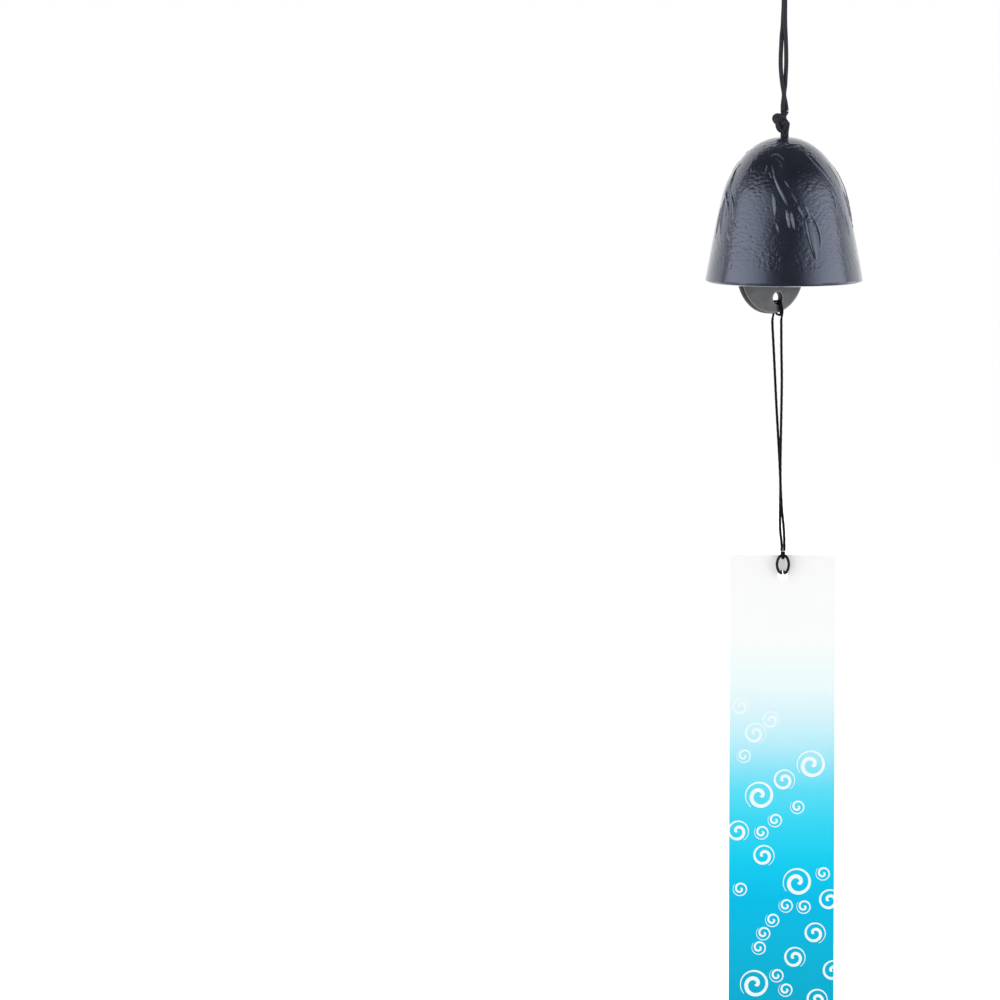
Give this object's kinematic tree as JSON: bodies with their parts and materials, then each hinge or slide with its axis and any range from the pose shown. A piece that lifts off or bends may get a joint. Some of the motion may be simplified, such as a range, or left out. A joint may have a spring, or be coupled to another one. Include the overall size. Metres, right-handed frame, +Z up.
{
  "type": "cast iron wind chime",
  "caption": "Small iron bell on a knotted cord loop, with a disc clapper, a thread, a wire ring and a long card strip that catches the wind.",
  "frame": {"origin": "the point where the hanging loop rests on a hook", "axes": "+Z up along the hanging line, +X to the right seen from the front, the printed face of the strip looks to -Y"},
  "size_m": [0.0696, 0.0696, 0.504],
  "materials": {
    "cord": "matte",
    "thread": "matte",
    "bell_iron": "satin",
    "disc_iron": "matte",
    "wire": "satin",
    "card": "matte"
  },
  "bodies": {
    "hanger": {"hanging_loop": "cord"},
    "knot": {"crown_knot": "cord"},
    "bell": {"bell": "bell_iron", "cord_neck": "cord", "stopper_knot": "cord"},
    "line_top": {"line_knot": "thread"},
    "clapper": {"clapper_line": "thread", "clapper": "disc_iron"},
    "tail": {"tail_hitch": "thread", "tail_line": "thread"},
    "ring_top": {"ring_hitch": "thread"},
    "ring": {"wire_ring": "wire"},
    "strip": {"strip": "card"}
  },
  "joints": [
    {"name": "cord_twist", "type": "hinge", "parent": "hanger", "child": "knot", "pos_m": [0, 0, -0.0797], "axis": [0, 0, 1], "continuous": true},
    {"name": "bell_sway", "type": "hinge", "parent": "knot", "child": "bell", "pos_m": [0, 0, -0.0896], "axis": [0, 1, 0], "range_deg": [-15, 15]},
    {"name": "clapper_turn", "type": "hinge", "parent": "bell", "child": "line_top", "pos_m": [-0.0044, 0, -0.1032], "axis": [0, 0, 1], "continuous": true},
    {"name": "clapper_swing", "type": "hinge", "parent": "line_top", "child": "clapper", "pos_m": [-0.0044, 0, -0.1047], "axis": [0.6428, -0.766, 0], "range_deg": [-4.5, 8.5]},
    {"name": "tail_swing", "type": "hinge", "parent": "clapper", "child": "tail", "pos_m": [-0.00301, 0.00191, -0.16409], "axis": [0.6428, -0.766, 0], "range_deg": [-20, 20]},
    {"name": "ring_turn", "type": "hinge", "parent": "tail", "child": "ring_top", "pos_m": [0, 0, -0.2755], "axis": [0, 0, 1], "continuous": true},
    {"name": "ring_swing", "type": "hinge", "parent": "ring_top", "child": "ring", "pos_m": [0, 0, -0.2772], "axis": [1, 0, 0], "range_deg": [-45, 45]},
    {"name": "strip_rock", "type": "hinge", "parent": "ring", "child": "strip", "pos_m": [0, 0.00217, -0.2863], "axis": [0, 1, 0], "range_deg": [-10, 10]}
  ]
}
